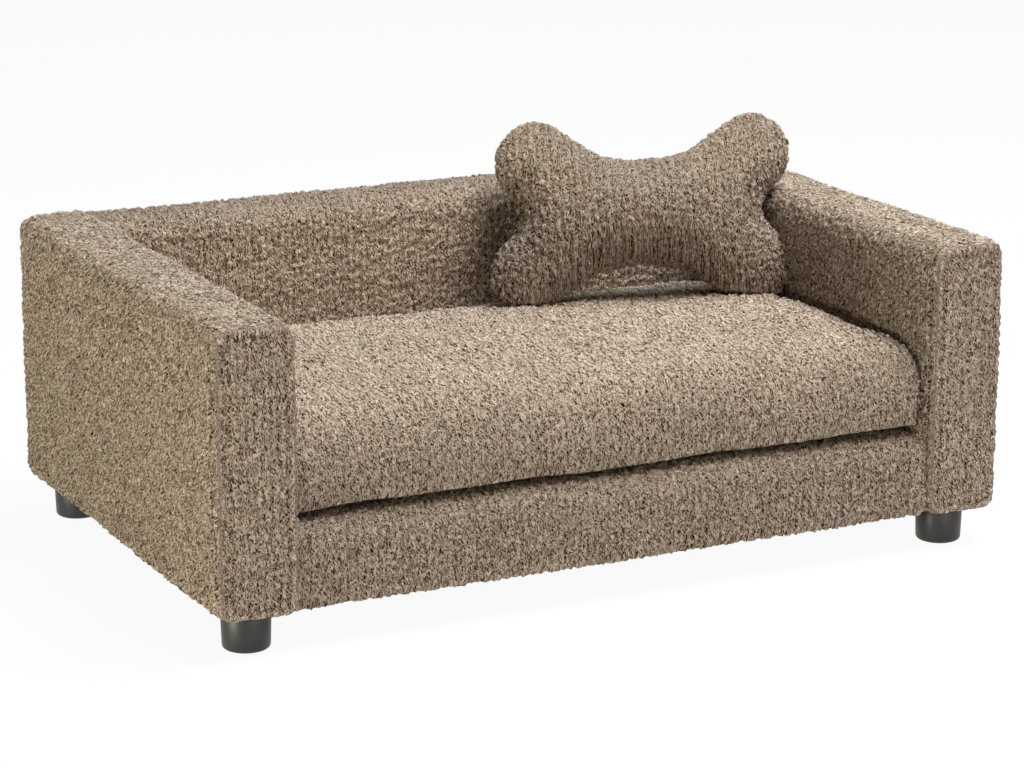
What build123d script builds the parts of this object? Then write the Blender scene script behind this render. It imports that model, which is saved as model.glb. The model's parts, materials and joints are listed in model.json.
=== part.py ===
from build123d import *
from math import atan2, cos, degrees, radians, sin, sqrt
import os

os.makedirs("parts", exist_ok=True)

# A small upholstered sofa bed for a dog, in millimetres. +X is the sofa's width, to the right of
# someone who faces it, -Y is its front and +Z is up. The origin is on the floor, under its middle.

# Overall sizes
sofa_width = 800
sofa_depth = 520
sofa_height = 300
arm_thickness = 74
back_thickness = 60
base_height = 115
rail_recess = 4
leg_height = 38

# Layers of the upholstery, from the outside in
cover_thickness = 4
foam_thickness = 8
board_thickness = 3
dust_cover_thickness = 1
hem_width = 20

# Rounding of the upholstered edges
arm_top_radius = 14
arm_bottom_radius = 8
arm_end_bevel = 4
back_front_radius = 18
back_rear_radius = 14
back_bottom_radius = 8
rail_top_radius = 20
rail_bottom_radius = 8

# Timber of the frames
batten_width = 30
bottom_rail_height = 45
base_rail_thickness = 18
deck_thickness = 6
corner_block_side = 52
corner_block_height = 40

# Legs
leg_diameter = 45
leg_edge_width = 2
leg_edge_height = 3
leg_end_inset = 35
leg_clearance = 1.5

# Fasteners
hole_clearance = 0.05
hanger_bolt_diameter = 8
leg_bolt_depth = 14
rail_bolt_depth = 28
screw_diameter = 6
screw_head_width = 10
screw_head_height = 4
screw_grip = 28
screw_height = 64
soft_hole_diameter = 9
arm_screw_inset = 106
back_screw_spacing = 330

# Seat cushion
seat_gap = 0.4
cushion_setback = 15
cushion_front_bulge = 7
cushion_front_lean = 8
cushion_front_seam_height = 75
cushion_rear_seam_height = 61
cushion_front_shoulder_depth = 32
cushion_front_shoulder_height = 86
cushion_rear_shoulder_depth = 50
cushion_rear_shoulder_height = 78
cushion_crown_height = 91
cushion_crown_depth = 190
cushion_rear_draw = 6
cushion_end_shoulder_width = 34
cushion_end_shoulder_drop = 9
cushion_corner_radius = 22
cushion_front_roll_radius = 14
rest_gap = 0.3

# Zip in the rear side of the seat cushion
zip_length = 520
zip_height = 31
zip_tape_width = 12
zip_tape_thickness = 0.6
zip_coil_width = 5
zip_coil_thickness = 1.6
zip_slider_length = 12
zip_slider_wall = 0.8
zip_slider_corner_radius = 1.5
zip_clearance = 0.3
zip_end = 8

# Bone pillow
pillow_lobe_radius = 41
pillow_lobe_x = 114
pillow_lobe_y = 55.5
pillow_waist = 108
pillow_notch_radius = 28
pillow_half_thickness = 46
pillow_cover_thickness = 4
pillow_yaw = 24
pillow_lean = 22
pillow_roll = 2
pillow_arm_press = 10
pillow_seat_press = 18
pillow_last_swell_angle = 80
pillow_chord_angle = 22
cover_rings = 5
filling_rings = 3

# How far cutting solids run past what they cut
overrun = 5

# Planes and places that several pieces share
frame_bottom = leg_height + cover_thickness
wrap = cover_thickness + foam_thickness
frame_top = sofa_height - wrap
arm_inner = sofa_width / 2 - arm_thickness
seat_width = 2 * arm_inner
arm_middle = sofa_width / 2 - arm_thickness / 2
arm_front = -sofa_depth / 2
arm_rear = sofa_depth / 2
back_front = arm_rear - back_thickness
rail_front = arm_front + rail_recess
bottom_rail_top = frame_bottom + bottom_rail_height
post_top = frame_top - batten_width
deck_top = base_height - wrap
deck_bottom = deck_top - deck_thickness
base_frame_front = rail_front + wrap
soft_hole_radius = soft_hole_diameter / 2
screw_hole_radius = screw_diameter / 2 + hole_clearance
leg_hole_radius = hanger_bolt_diameter / 2 + hole_clearance
front_rail_rows = (base_frame_front, base_frame_front + base_rail_thickness)
side_rail_rows = (front_rail_rows[1], back_front)
side_rail_inside = arm_inner - base_rail_thickness
rear_rail_rows = (back_front - base_rail_thickness, back_front + wrap)
rear_rail_span = (-side_rail_inside, side_rail_inside)
leg_rows = (arm_front + leg_end_inset, arm_rear - leg_end_inset)
arm_screw_rows = (base_frame_front + arm_screw_inset, back_front - arm_screw_inset)
back_screw_columns = (-back_screw_spacing / 2, back_screw_spacing / 2)
written = []


def save(piece, node):
    """Labels a finished piece and writes it as its own STEP file."""
    piece.label = node
    export_step(piece, f"parts/{node}.step")
    written.append(node)
    return piece


def block(x_span, y_span, z_span):
    """A square-edged block between two places on each axis."""
    with BuildPart() as made:
        with BuildSketch(Plane.XY.offset(z_span[0])):
            with Locations(((x_span[0] + x_span[1]) / 2, (y_span[0] + y_span[1]) / 2)):
                Rectangle(x_span[1] - x_span[0], y_span[1] - y_span[0])
        extrude(amount=z_span[1] - z_span[0])
    return made.part


def rod(start, axis, radius, length):
    """A round rod from a point, along an axis direction."""
    with BuildPart() as made:
        with BuildSketch(Plane(origin=start, z_dir=axis)):
            Circle(radius)
        extrude(amount=length)
    return made.part


# Arms


def arm_form(inset):
    """The arm's rounded box about x = 0, drawn in by inset; the ends inside it stay square."""
    bottom = leg_height + inset
    top = sofa_height - inset
    with BuildPart() as form:
        with BuildSketch(Plane.XZ.offset(arm_front + inset)):
            with Locations((0, (bottom + top) / 2)):
                Rectangle(arm_thickness - 2 * inset, top - bottom)
        extrude(amount=sofa_depth - 2 * inset)
        long_edges = form.edges().filter_by(Axis.Y).group_by(Axis.Z)
        fillet(long_edges[-1], radius=arm_top_radius - inset)
        fillet(long_edges[0], radius=arm_bottom_radius - inset)
        if inset <= 0:
            ends = form.faces().filter_by(Axis.Y).sort_by(Axis.Y)
            chamfer(ends[0].edges() + ends[-1].edges(), length=arm_end_bevel)
    return form.part


arm_outer_form = arm_form(0)
arm_foam_form = arm_form(cover_thickness)
arm_frame_half = arm_thickness / 2 - wrap
arm_batten_half = arm_frame_half - board_thickness
arm_frame_rows = (arm_front + wrap, arm_rear - wrap)


def arm_pieces(side):
    """Every piece of one arm; side is -1 on the left and 1 on the right."""
    middle = side * arm_middle
    inner_face = -side * arm_frame_half
    batten_span = (-arm_batten_half, arm_batten_half)
    board_spans = {
        "outer_board": sorted((side * arm_frame_half, side * arm_batten_half)),
        "inner_board": sorted((-side * arm_frame_half, -side * arm_batten_half)),
    }
    front, rear = arm_frame_rows
    post_rows = {
        "front_post": (front, front + batten_width),
        "centre_post": (-batten_width / 2, batten_width / 2),
        "rear_post": (rear - batten_width, rear),
    }
    screw_start = inner_face - side * overrun
    window = block(
        sorted((inner_face, -side * (arm_thickness / 2 + overrun))),
        side_rail_rows,
        (frame_bottom, deck_bottom),
    )
    pieces = {}

    # The sewn cover: turned in under the frame, cut out where the base's side rail meets the arm
    with BuildPart() as cover:
        add(arm_outer_form)
        add(arm_foam_form, mode=Mode.SUBTRACT)
        with BuildSketch(Plane.XY.offset(leg_height - overrun)):
            slot_length = leg_rows[1] - leg_rows[0] - leg_diameter - hem_width
            Rectangle(arm_thickness - 2 * hem_width, slot_length)
        extrude(amount=cover_thickness + 2 * overrun, mode=Mode.SUBTRACT)
        with BuildSketch(Plane.XY.offset(leg_height - overrun)):
            with Locations(*[(0, row) for row in leg_rows]):
                Circle(soft_hole_radius)
        extrude(amount=cover_thickness + 2 * overrun, mode=Mode.SUBTRACT)
        add(window, mode=Mode.SUBTRACT)
    pieces["cover"] = cover.part

    # The foam wrap over the frame, open underneath
    with BuildPart() as foam:
        add(arm_foam_form)
        hollow = block(
            (-arm_frame_half, arm_frame_half),
            arm_frame_rows,
            (frame_bottom - overrun, frame_top),
        )
        add(hollow, mode=Mode.SUBTRACT)
        add(window, mode=Mode.SUBTRACT)
    pieces["foam"] = foam.part

    # The two fibreboard skins
    for name, span in board_spans.items():
        with BuildPart() as board:
            add(block(span, arm_frame_rows, (frame_bottom, frame_top)))
            if name == "inner_board":
                for row in arm_screw_rows:
                    start = (screw_start, row, screw_height)
                    hole = rod(start, (side, 0, 0), screw_hole_radius, board_thickness + 2 * overrun)
                    add(hole, mode=Mode.SUBTRACT)
        pieces[name] = board.part

    # The softwood rails and posts
    with BuildPart() as bottom_rail:
        add(block(batten_span, arm_frame_rows, (frame_bottom, bottom_rail_top)))
        with BuildSketch(Plane.XY.offset(frame_bottom)):
            with Locations(*[(0, row) for row in leg_rows]):
                Circle(leg_hole_radius)
        extrude(amount=rail_bolt_depth, mode=Mode.SUBTRACT)
        for row in arm_screw_rows:
            start = (inner_face + side * board_thickness, row, screw_height)
            add(rod(start, (side, 0, 0), screw_hole_radius, screw_grip), mode=Mode.SUBTRACT)
    pieces["bottom_rail"] = bottom_rail.part
    pieces["top_rail"] = block(batten_span, arm_frame_rows, (post_top, frame_top))
    for name, rows in post_rows.items():
        pieces[name] = block(batten_span, rows, (bottom_rail_top, post_top))

    return {name: Pos(middle, 0, 0) * piece for name, piece in pieces.items()}


for side_name, side in (("left", -1), ("right", 1)):
    for piece_name, piece in arm_pieces(side).items():
        save(piece, f"{side_name}_arm_{piece_name}")


# Back


def back_form(inset):
    """The back's rounded box between the arms, with every face drawn in by inset."""
    bottom = leg_height + inset
    top = sofa_height - inset
    front = back_front + inset
    rear = arm_rear - inset
    with BuildPart() as form:
        with BuildSketch(Plane.YZ.offset(inset - arm_inner)):
            with Locations(((front + rear) / 2, (bottom + top) / 2)):
                Rectangle(rear - front, top - bottom)
        extrude(amount=seat_width - 2 * inset)
        long_edges = form.edges().filter_by(Axis.X)
        top_edges = long_edges.group_by(Axis.Z)[-1].sort_by(Axis.Y)
        bottom_edges = long_edges.group_by(Axis.Z)[0]
        fillet(top_edges[0], radius=back_front_radius - inset)
        fillet(top_edges[-1], radius=back_rear_radius - inset)
        fillet(bottom_edges, radius=back_bottom_radius - inset)
    return form.part


back_foam_form = back_form(cover_thickness)
back_frame_rows = (back_front + wrap, arm_rear - wrap)
back_batten_rows = (back_frame_rows[0] + board_thickness, back_frame_rows[1] - board_thickness)
back_frame_half = arm_inner - cover_thickness
back_frame_span = (-back_frame_half, back_frame_half)
back_window = block(
    rear_rail_span, (back_front - overrun, back_frame_rows[0]), (frame_bottom, deck_bottom)
)

with BuildPart() as back_cover:
    add(back_form(0))
    add(back_foam_form, mode=Mode.SUBTRACT)
    with BuildSketch(Plane.XY.offset(leg_height - overrun)):
        with Locations((0, (back_front + arm_rear) / 2)):
            Rectangle(seat_width - 2 * hem_width, back_thickness - 2 * hem_width)
    extrude(amount=cover_thickness + 2 * overrun, mode=Mode.SUBTRACT)
    add(back_window, mode=Mode.SUBTRACT)
save(back_cover.part, "back_cover")

with BuildPart() as back_foam:
    add(back_foam_form)
    back_hollow = block(
        (-back_frame_half - overrun, back_frame_half + overrun),
        back_frame_rows,
        (frame_bottom - overrun, frame_top),
    )
    add(back_hollow, mode=Mode.SUBTRACT)
    add(back_window, mode=Mode.SUBTRACT)
save(back_foam.part, "back_foam")

with BuildPart() as back_front_board:
    add(block(back_frame_span, (back_frame_rows[0], back_batten_rows[0]), (frame_bottom, frame_top)))
    for column in back_screw_columns:
        start = (column, back_frame_rows[0], screw_height)
        add(rod(start, (0, 1, 0), screw_hole_radius, board_thickness), mode=Mode.SUBTRACT)
save(back_front_board.part, "back_front_board")

back_rear_board = block(
    back_frame_span, (back_batten_rows[1], back_frame_rows[1]), (frame_bottom, frame_top)
)
save(back_rear_board, "back_rear_board")

with BuildPart() as back_bottom_rail:
    add(block(back_frame_span, back_batten_rows, (frame_bottom, bottom_rail_top)))
    for column in back_screw_columns:
        start = (column, back_batten_rows[0], screw_height)
        add(rod(start, (0, 1, 0), screw_hole_radius, screw_grip), mode=Mode.SUBTRACT)
save(back_bottom_rail.part, "back_bottom_rail")

save(block(back_frame_span, back_batten_rows, (post_top, frame_top)), "back_top_rail")
back_post_spans = {
    "back_left_post": (-back_frame_half, batten_width - back_frame_half),
    "back_centre_post": (-batten_width / 2, batten_width / 2),
    "back_right_post": (back_frame_half - batten_width, back_frame_half),
}
for node, span in back_post_spans.items():
    save(block(span, back_batten_rows, (bottom_rail_top, post_top)), node)


# Base between the arms


def base_form(inset):
    """The base's box, its top, front and bottom drawn in by inset, open to the sides and the rear."""
    bottom = leg_height + inset
    top = base_height - inset
    front = rail_front + inset
    with BuildPart() as form:
        with BuildSketch(Plane.YZ.offset(-arm_inner)):
            with Locations(((front + back_front) / 2, (bottom + top) / 2)):
                Rectangle(back_front - front, top - bottom)
        extrude(amount=seat_width)
        front_edges = form.edges().filter_by(Axis.X).group_by(Axis.Y)[0].sort_by(Axis.Z)
        fillet(front_edges[-1], radius=rail_top_radius - inset)
        fillet(front_edges[0], radius=rail_bottom_radius - inset)
    return form.part


joint_rail_thickness = base_rail_thickness + wrap
base_span = (-arm_inner, arm_inner)
base_rows = (base_frame_front, back_front)
base_foam_form = base_form(cover_thickness)
open_span = (-arm_inner - overrun, arm_inner + overrun)

# The cover runs from under the front rail, up its face and back over the deck
with BuildPart() as base_cover:
    add(base_form(0))
    add(base_foam_form, mode=Mode.SUBTRACT)
    base_opening = block(
        open_span,
        (front_rail_rows[1], back_front + overrun),
        (leg_height - overrun, frame_bottom),
    )
    add(base_opening, mode=Mode.SUBTRACT)
save(base_cover.part, "base_cover")

# The foam lies on the deck and over the front rail
with BuildPart() as base_foam:
    add(base_foam_form)
    base_hollow = block(
        open_span,
        (base_frame_front, back_front + overrun),
        (frame_bottom - overrun, deck_top),
    )
    add(base_hollow, mode=Mode.SUBTRACT)
save(base_foam.part, "base_foam")

save(block(base_span, base_rows, (deck_bottom, deck_top)), "base_deck_board")
save(block(base_span, front_rail_rows, (frame_bottom, deck_bottom)), "base_front_rail")

with BuildPart() as base_rear_rail:
    add(block(rear_rail_span, rear_rail_rows, (frame_bottom, deck_bottom)))
    for column in back_screw_columns:
        start = (column, rear_rail_rows[0], screw_height)
        add(rod(start, (0, 1, 0), screw_hole_radius, joint_rail_thickness), mode=Mode.SUBTRACT)
save(base_rear_rail.part, "base_rear_rail")

for side_name, side in (("left", -1), ("right", 1)):
    with BuildPart() as base_side_rail:
        rail_span = sorted((side * side_rail_inside, side * (arm_inner + wrap)))
        add(block(rail_span, side_rail_rows, (frame_bottom, deck_bottom)))
        for row in arm_screw_rows:
            start = (side * side_rail_inside, row, screw_height)
            add(rod(start, (side, 0, 0), screw_hole_radius, joint_rail_thickness), mode=Mode.SUBTRACT)
    save(base_side_rail.part, f"base_{side_name}_rail")

centre_rail_span = (-base_rail_thickness / 2, base_rail_thickness / 2)
centre_rail_rows = (front_rail_rows[1], rear_rail_rows[0])
save(block(centre_rail_span, centre_rail_rows, (frame_bottom, deck_bottom)), "base_centre_rail")

# Four triangular blocks glued into the corners of the base frame
with BuildPart() as corner_blocks:
    with BuildSketch(Plane.XY.offset(deck_bottom - corner_block_height)):
        for side in (-1, 1):
            for row, inward in ((centre_rail_rows[0], 1), (centre_rail_rows[1], -1)):
                with BuildLine():
                    Polyline(
                        (side * side_rail_inside, row),
                        (side * (side_rail_inside - corner_block_side), row),
                        (side * side_rail_inside, row + inward * corner_block_side),
                        close=True,
                    )
                make_face()
    extrude(amount=corner_block_height)
save(corner_blocks.part, "base_corner_blocks")

# The dust cover on the underside, stapled over the turned-in covers and cut back round the legs
leg_reach = leg_diameter / 2 + leg_clearance
with BuildPart() as dust_cover:
    with BuildSketch(Plane.XY.offset(leg_height - dust_cover_thickness)):
        Rectangle(sofa_width - hem_width, 2 * (leg_rows[1] - leg_reach))
        Rectangle(2 * (arm_middle - leg_reach), sofa_depth - hem_width)
    extrude(amount=dust_cover_thickness)
save(dust_cover.part, "dust_cover")


# Legs and fasteners

# One round leg, its lower edge bevelled, with a threaded hole in its top
with BuildPart() as leg:
    with BuildSketch(Plane.XY):
        Circle(leg_diameter / 2)
    extrude(amount=leg_height)
    chamfer(leg.faces().sort_by(Axis.Z)[0].edges(), length=leg_edge_height, length2=leg_edge_width)
    with Locations((0, 0, leg_height)):
        Hole(radius=leg_hole_radius, depth=leg_bolt_depth)

for side_name, side in (("left", -1), ("right", 1)):
    for end_name, row in (("front", leg_rows[0]), ("rear", leg_rows[1])):
        save(Pos(side * arm_middle, row, 0) * leg.part, f"{end_name}_{side_name}_leg")

# The hanger bolts: half in the legs, half in the arms' bottom rails
leg_places = [(side * arm_middle, row) for side in (-1, 1) for row in leg_rows]
bolt_bottom = leg_height - leg_bolt_depth
with BuildPart() as leg_bolts:
    with BuildSketch(Plane.XY.offset(bolt_bottom)):
        with Locations(*leg_places):
            Circle(hanger_bolt_diameter / 2)
    extrude(amount=frame_bottom + rail_bolt_depth - bolt_bottom)
save(leg_bolts.part, "leg_hanger_bolts")

# The hexagon-head screws that hold the arms and the back to the base, driven from inside its frame
screw_places = [
    Plane(origin=(side * side_rail_inside, row, screw_height), z_dir=(side, 0, 0))
    for side in (-1, 1)
    for row in arm_screw_rows
]
screw_places += [
    Plane(origin=(column, rear_rail_rows[0], screw_height), z_dir=(0, 1, 0))
    for column in back_screw_columns
]
with BuildPart() as frame_screws:
    for place in screw_places:
        with BuildSketch(place.offset(-screw_head_height)):
            RegularPolygon(screw_head_width / 2, side_count=6, major_radius=False)
        extrude(amount=screw_head_height)
        with BuildSketch(place):
            Circle(screw_diameter / 2)
        extrude(amount=joint_rail_thickness + board_thickness + screw_grip)
save(frame_screws.part, "frame_screws")


# Seat cushion

cushion_half_width = arm_inner - seat_gap
cushion_bottom = base_height + rest_gap
cushion_front = arm_front + cushion_setback
zip_stack = zip_tape_thickness + zip_coil_thickness + zip_clearance + zip_slider_wall
cushion_rear = back_front - zip_stack - rest_gap


def cushion_section(inset, plane):
    """The cushion's outline across its depth: flat below, bulged in front, crowned on top."""
    bottom = cushion_bottom + inset
    front = cushion_front + inset
    rear = cushion_rear - inset
    seam_front = front + cushion_front_lean
    front_bottom = (front, bottom)
    front_bulge = (front - cushion_front_bulge, cushion_bottom + cushion_front_seam_height / 2)
    front_seam = (seam_front, cushion_bottom + cushion_front_seam_height - inset)
    front_shoulder = (
        seam_front + cushion_front_shoulder_depth,
        cushion_bottom + cushion_front_shoulder_height - inset,
    )
    crown = (front + cushion_crown_depth, cushion_bottom + cushion_crown_height - inset)
    rear_shoulder = (
        rear - cushion_rear_shoulder_depth,
        cushion_bottom + cushion_rear_shoulder_height - inset,
    )
    rear_seam = (rear - cushion_rear_draw, cushion_bottom + cushion_rear_seam_height - inset)
    zip_low = (rear, cushion_bottom + zip_height - zip_tape_width)
    zip_high = (rear, cushion_bottom + zip_height + zip_tape_width)
    rear_bottom = (rear - cushion_rear_draw, bottom)
    with BuildSketch(plane) as section:
        with BuildLine():
            Line(rear_bottom, front_bottom)
            ThreePointArc(front_bottom, front_bulge, front_seam)
            top = ThreePointArc(front_shoulder, crown, rear_shoulder)
            TangentArc(front_shoulder, front_seam, tangent=(top % 0) * -1)
            TangentArc(rear_shoulder, rear_seam, tangent=top % 1)
            Line(rear_seam, zip_high)
            Line(zip_high, zip_low)
            Line(zip_low, rear_bottom)
        make_face()
        front_corner = section.vertices().group_by(Axis.Y)[0].sort_by(Axis.X)[0]
        fillet(front_corner, radius=cushion_front_roll_radius - inset)
    return section.sketch


def cushion_form(inset):
    """The crowned cushion with every face drawn in by inset, its ends and corners rounded."""
    half_width = cushion_half_width - inset
    front = cushion_front - cushion_front_bulge + inset
    rear = cushion_rear - inset
    top = cushion_bottom + cushion_crown_height - inset
    shoulder_start = half_width - cushion_end_shoulder_width
    shoulder_end = top - cushion_end_shoulder_drop
    with BuildPart() as form:
        extrude(cushion_section(inset, Plane.YZ.offset(-half_width)), amount=2 * half_width)
        with BuildSketch(Plane.XY.offset(cushion_bottom)):
            with Locations((0, (front + rear) / 2)):
                RectangleRounded(2 * half_width, rear - front, cushion_corner_radius - inset)
        extrude(amount=cushion_crown_height + overrun, mode=Mode.INTERSECT)
        with BuildSketch(Plane.XZ.offset(-rear)):
            with BuildLine():
                Line((-shoulder_start, top), (shoulder_start, top))
                TangentArc((shoulder_start, top), (half_width, shoulder_end), tangent=(1, 0))
                Polyline(
                    (half_width, shoulder_end),
                    (half_width, cushion_bottom),
                    (-half_width, cushion_bottom),
                    (-half_width, shoulder_end),
                )
                TangentArc((-shoulder_start, top), (-half_width, shoulder_end), tangent=(-1, 0))
            make_face()
        extrude(amount=rear - front, mode=Mode.INTERSECT)
    return form.part


cushion_outer_form = cushion_form(0)
cushion_foam_form = cushion_form(cover_thickness)
with BuildPart() as seat_cushion_cover:
    add(cushion_outer_form)
    add(cushion_foam_form, mode=Mode.SUBTRACT)
save(seat_cushion_cover.part, "seat_cushion_cover")
save(cushion_foam_form, "seat_cushion_foam")

# The zip along the cushion's rear side: two tapes, the coil over their meeting edges and the slider
zip_middle = cushion_bottom + zip_height
tape_face = cushion_rear + zip_tape_thickness
coil_face = tape_face + zip_coil_thickness
zip_span = (-zip_length / 2, zip_length / 2)
with BuildPart() as zip_tapes:
    for way in (-1, 1):
        tape_edges = sorted((zip_middle + way * zip_clearance, zip_middle + way * zip_tape_width))
        add(block(zip_span, (cushion_rear, tape_face), tape_edges))
save(zip_tapes.part, "zip_tapes")

with BuildPart() as zip_coil:
    add(
        block(
            zip_span,
            (tape_face, coil_face),
            (zip_middle - zip_coil_width / 2, zip_middle + zip_coil_width / 2),
        )
    )
    coil_edges = zip_coil.edges().filter_by(Axis.X).group_by(Axis.Y)[-1]
    fillet(coil_edges, radius=zip_coil_thickness / 2)
save(zip_coil.part, "zip_coil")

# The slider is a channel over the coil, at the closed end of its travel
slider_right = zip_span[1] - zip_end
channel_half_height = zip_coil_width / 2 + zip_clearance
with BuildPart() as zip_slider:
    slider_half_height = channel_half_height + zip_slider_wall
    slider_span = (slider_right - zip_slider_length, slider_right)
    slider_back = coil_face + zip_clearance
    add(
        block(
            slider_span,
            (tape_face + zip_clearance, slider_back + zip_slider_wall),
            (zip_middle - slider_half_height, zip_middle + slider_half_height),
        )
    )
    slider_ends = zip_slider.edges().filter_by(Axis.Y)
    fillet(slider_ends, radius=zip_slider_corner_radius)
    channel = block(
        (slider_span[0] - overrun, slider_span[1] + overrun),
        (tape_face - overrun, slider_back),
        (zip_middle - channel_half_height, zip_middle + channel_half_height),
    )
    add(channel, mode=Mode.SUBTRACT)
save(zip_slider.part, "zip_slider")
print("zip slider travel", zip_length - 2 * zip_end - zip_slider_length)


# Bone pillow

# The long hollow of the waist is an arc that touches both lobes beside it
waist_half = pillow_waist / 2
lobe_lift = waist_half - pillow_lobe_y
pillow_waist_radius = (pillow_lobe_x**2 + lobe_lift**2 - pillow_lobe_radius**2) / (
    2 * (pillow_lobe_radius - lobe_lift)
)
waist_centre_y = waist_half + pillow_waist_radius

# The notch between the two lobes of one end is a smaller arc that touches both
notch_reach = sqrt((pillow_lobe_radius + pillow_notch_radius) ** 2 - pillow_lobe_y**2)
notch_centre_x = pillow_lobe_x + notch_reach

# Directions from a lobe's centre to the two hollows beside it
waist_angle = degrees(atan2(waist_centre_y - pillow_lobe_y, -pillow_lobe_x))
notch_angle = degrees(atan2(-pillow_lobe_y, notch_reach))
lobe_turn = (waist_angle - notch_angle) / 2


def outline_arcs(draw):
    """The bone's outline as arcs: lobes shrink and hollows widen when it is drawn in."""
    arcs = []
    for level, side in ((1, 1), (1, -1), (-1, -1), (-1, 1)):
        lobe = (side * pillow_lobe_x, level * pillow_lobe_y)
        way = side * level
        for start in (notch_angle, notch_angle + lobe_turn):
            first = start if side > 0 else 180 - start
            arcs.append((lobe, pillow_lobe_radius - draw, level * first, way * lobe_turn))
    waist_turn = 2 * (waist_angle - 90)
    for level in (1, -1):
        hollow = (0, level * waist_centre_y)
        first = -level * (90 + waist_turn / 2)
        arcs.append((hollow, pillow_waist_radius + draw, first, level * waist_turn))
    for side in (1, -1):
        notch = (side * notch_centre_x, 0)
        first = notch_angle + (180 if side > 0 else 0)
        arcs.append((notch, pillow_notch_radius + draw, first, -2 * notch_angle))
    return arcs


def pillow_outline(draw, plane):
    """The bone's outline on a plane, drawn in, with each arc cut into chords."""
    with BuildSketch(plane) as outline:
        with BuildLine():
            for centre, radius, first, turn in outline_arcs(draw):
                arc = CenterArc(centre, radius, first, turn, mode=Mode.PRIVATE)
                chords = round(abs(turn) / pillow_chord_angle)
                Polyline(*[arc @ (step / chords) for step in range(chords + 1)])
        make_face()
    return outline.sketch


# The pillow leans back into the right rear corner: its right foot is pressed against the arm, its
# left ear touches the back and its feet are pressed flat on the seat cushion
pillow_turn = Rot(Z=-pillow_yaw) * Rot(X=-pillow_lean) * Rot(Y=-pillow_roll)
turned_plane = Plane(pillow_turn * Plane.XZ.location)
right_foot = turned_plane.from_local_coords((pillow_lobe_x, -pillow_lobe_y, 0))
left_foot = turned_plane.from_local_coords((-pillow_lobe_x, -pillow_lobe_y, 0))
left_ear = turned_plane.from_local_coords((-pillow_lobe_x, pillow_lobe_y, 0))
pillow_middle = (
    arm_inner + pillow_arm_press - pillow_lobe_radius - right_foot.X,
    back_front - rest_gap - pillow_lobe_radius - left_ear.Y,
    cushion_bottom + cushion_crown_height - pillow_seat_press + pillow_lobe_radius - left_foot.Z,
)
pillow_plane = Plane(Pos(*pillow_middle) * turned_plane.location)


def pillow_form(inset, rings):
    """The filled bone, drawn in by inset: each of its two panels is a loft of flat facets."""
    with BuildPart() as form:
        for way in (-1, 1):
            sections = []
            for ring in range(rings + 1):
                angle = radians(pillow_last_swell_angle * ring / rings)
                draw = inset + (pillow_lobe_radius - inset) * (1 - cos(angle))
                rise = (pillow_half_thickness - inset) * sin(angle)
                plane = pillow_plane.offset(way * rise)
                sections.append(pillow_outline(draw, plane))
            panel = loft(sections, ruled=True, mode=Mode.PRIVATE)
            add(Solid(Shell([Face(facet.outer_wire()) for facet in panel.faces()])))
        gap = rest_gap + inset
        add(Pos(arm_middle, 0, 0) * arm_form(-gap), mode=Mode.SUBTRACT)
        add(Pos(0, 0, gap) * cushion_outer_form, mode=Mode.SUBTRACT)
    return form.part


pillow_filling = pillow_form(pillow_cover_thickness, filling_rings)
with BuildPart() as pillow_cover:
    add(pillow_form(0, cover_rings))
    add(pillow_filling, mode=Mode.SUBTRACT)
save(pillow_cover.part, "pillow_cover")
save(pillow_filling, "pillow_filling")

print("pillow middle", [round(place, 1) for place in pillow_middle])
print("pieces written", len(written))
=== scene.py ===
import json
import math

import bmesh
import bpy
import numpy as np
from mathutils import Matrix, Vector
from mathutils.bvhtree import BVHTree
from mathutils.kdtree import KDTree


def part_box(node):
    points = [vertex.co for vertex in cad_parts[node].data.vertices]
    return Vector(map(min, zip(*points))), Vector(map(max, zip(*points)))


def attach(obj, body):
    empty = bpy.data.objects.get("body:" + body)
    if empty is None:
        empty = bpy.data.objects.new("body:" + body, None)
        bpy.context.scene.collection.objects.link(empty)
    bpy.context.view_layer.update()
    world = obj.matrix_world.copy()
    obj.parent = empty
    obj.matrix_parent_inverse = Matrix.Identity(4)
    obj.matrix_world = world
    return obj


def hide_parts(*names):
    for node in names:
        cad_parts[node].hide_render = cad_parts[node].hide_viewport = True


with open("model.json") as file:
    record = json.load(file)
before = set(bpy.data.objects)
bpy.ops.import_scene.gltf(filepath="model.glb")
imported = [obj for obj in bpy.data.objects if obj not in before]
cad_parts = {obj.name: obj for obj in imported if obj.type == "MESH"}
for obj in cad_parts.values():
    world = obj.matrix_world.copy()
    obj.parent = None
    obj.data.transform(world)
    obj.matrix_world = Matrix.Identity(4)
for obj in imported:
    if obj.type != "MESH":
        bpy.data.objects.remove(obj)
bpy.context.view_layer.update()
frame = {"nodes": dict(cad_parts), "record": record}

MM = 0.001

# Fabric, in millimetres: the curls, the lumps that they gather into, the faint ribs and the strands
CURL_ACROSS = 1.5
CURL_ALONG = 1.8
LUMP_ACROSS = 4.4
LUMP_ALONG = 4.8
RIB_PITCH = 7.4
STREAK_ACROSS = 2.6
STREAK_ALONG = 10.0
STRAND_ACROSS = 1.6
STRAND_ALONG = 4.4
SWIRL_SIZE = 3.4
SWIRL = 1.0
DRIFT_SIZE = 9.0
DRIFT = 1.6
TONE_SIZE = 45.0

# Shares of each form in the ribs, in the relief of the mesh and in the fine height of the material
RIB_WAVE = 0.6
RIB_STREAK = 3.4
RELIEF_LUMP_MIDDLE = 0.45
RELIEF_RIB = 0.18
RELIEF_CURL = 0.3
HEIGHT_CURL = 0.26
HEIGHT_STRAND = 0.5
HEIGHT_LUMP = 0.12
HEIGHT_RIB = 0.09
HEIGHT_SEAM = 0.1
HEIGHT_FIBRE = 0.35
STRAND_EDGE = 0.14
FIBRE_FINENESS = 2.6

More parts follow.
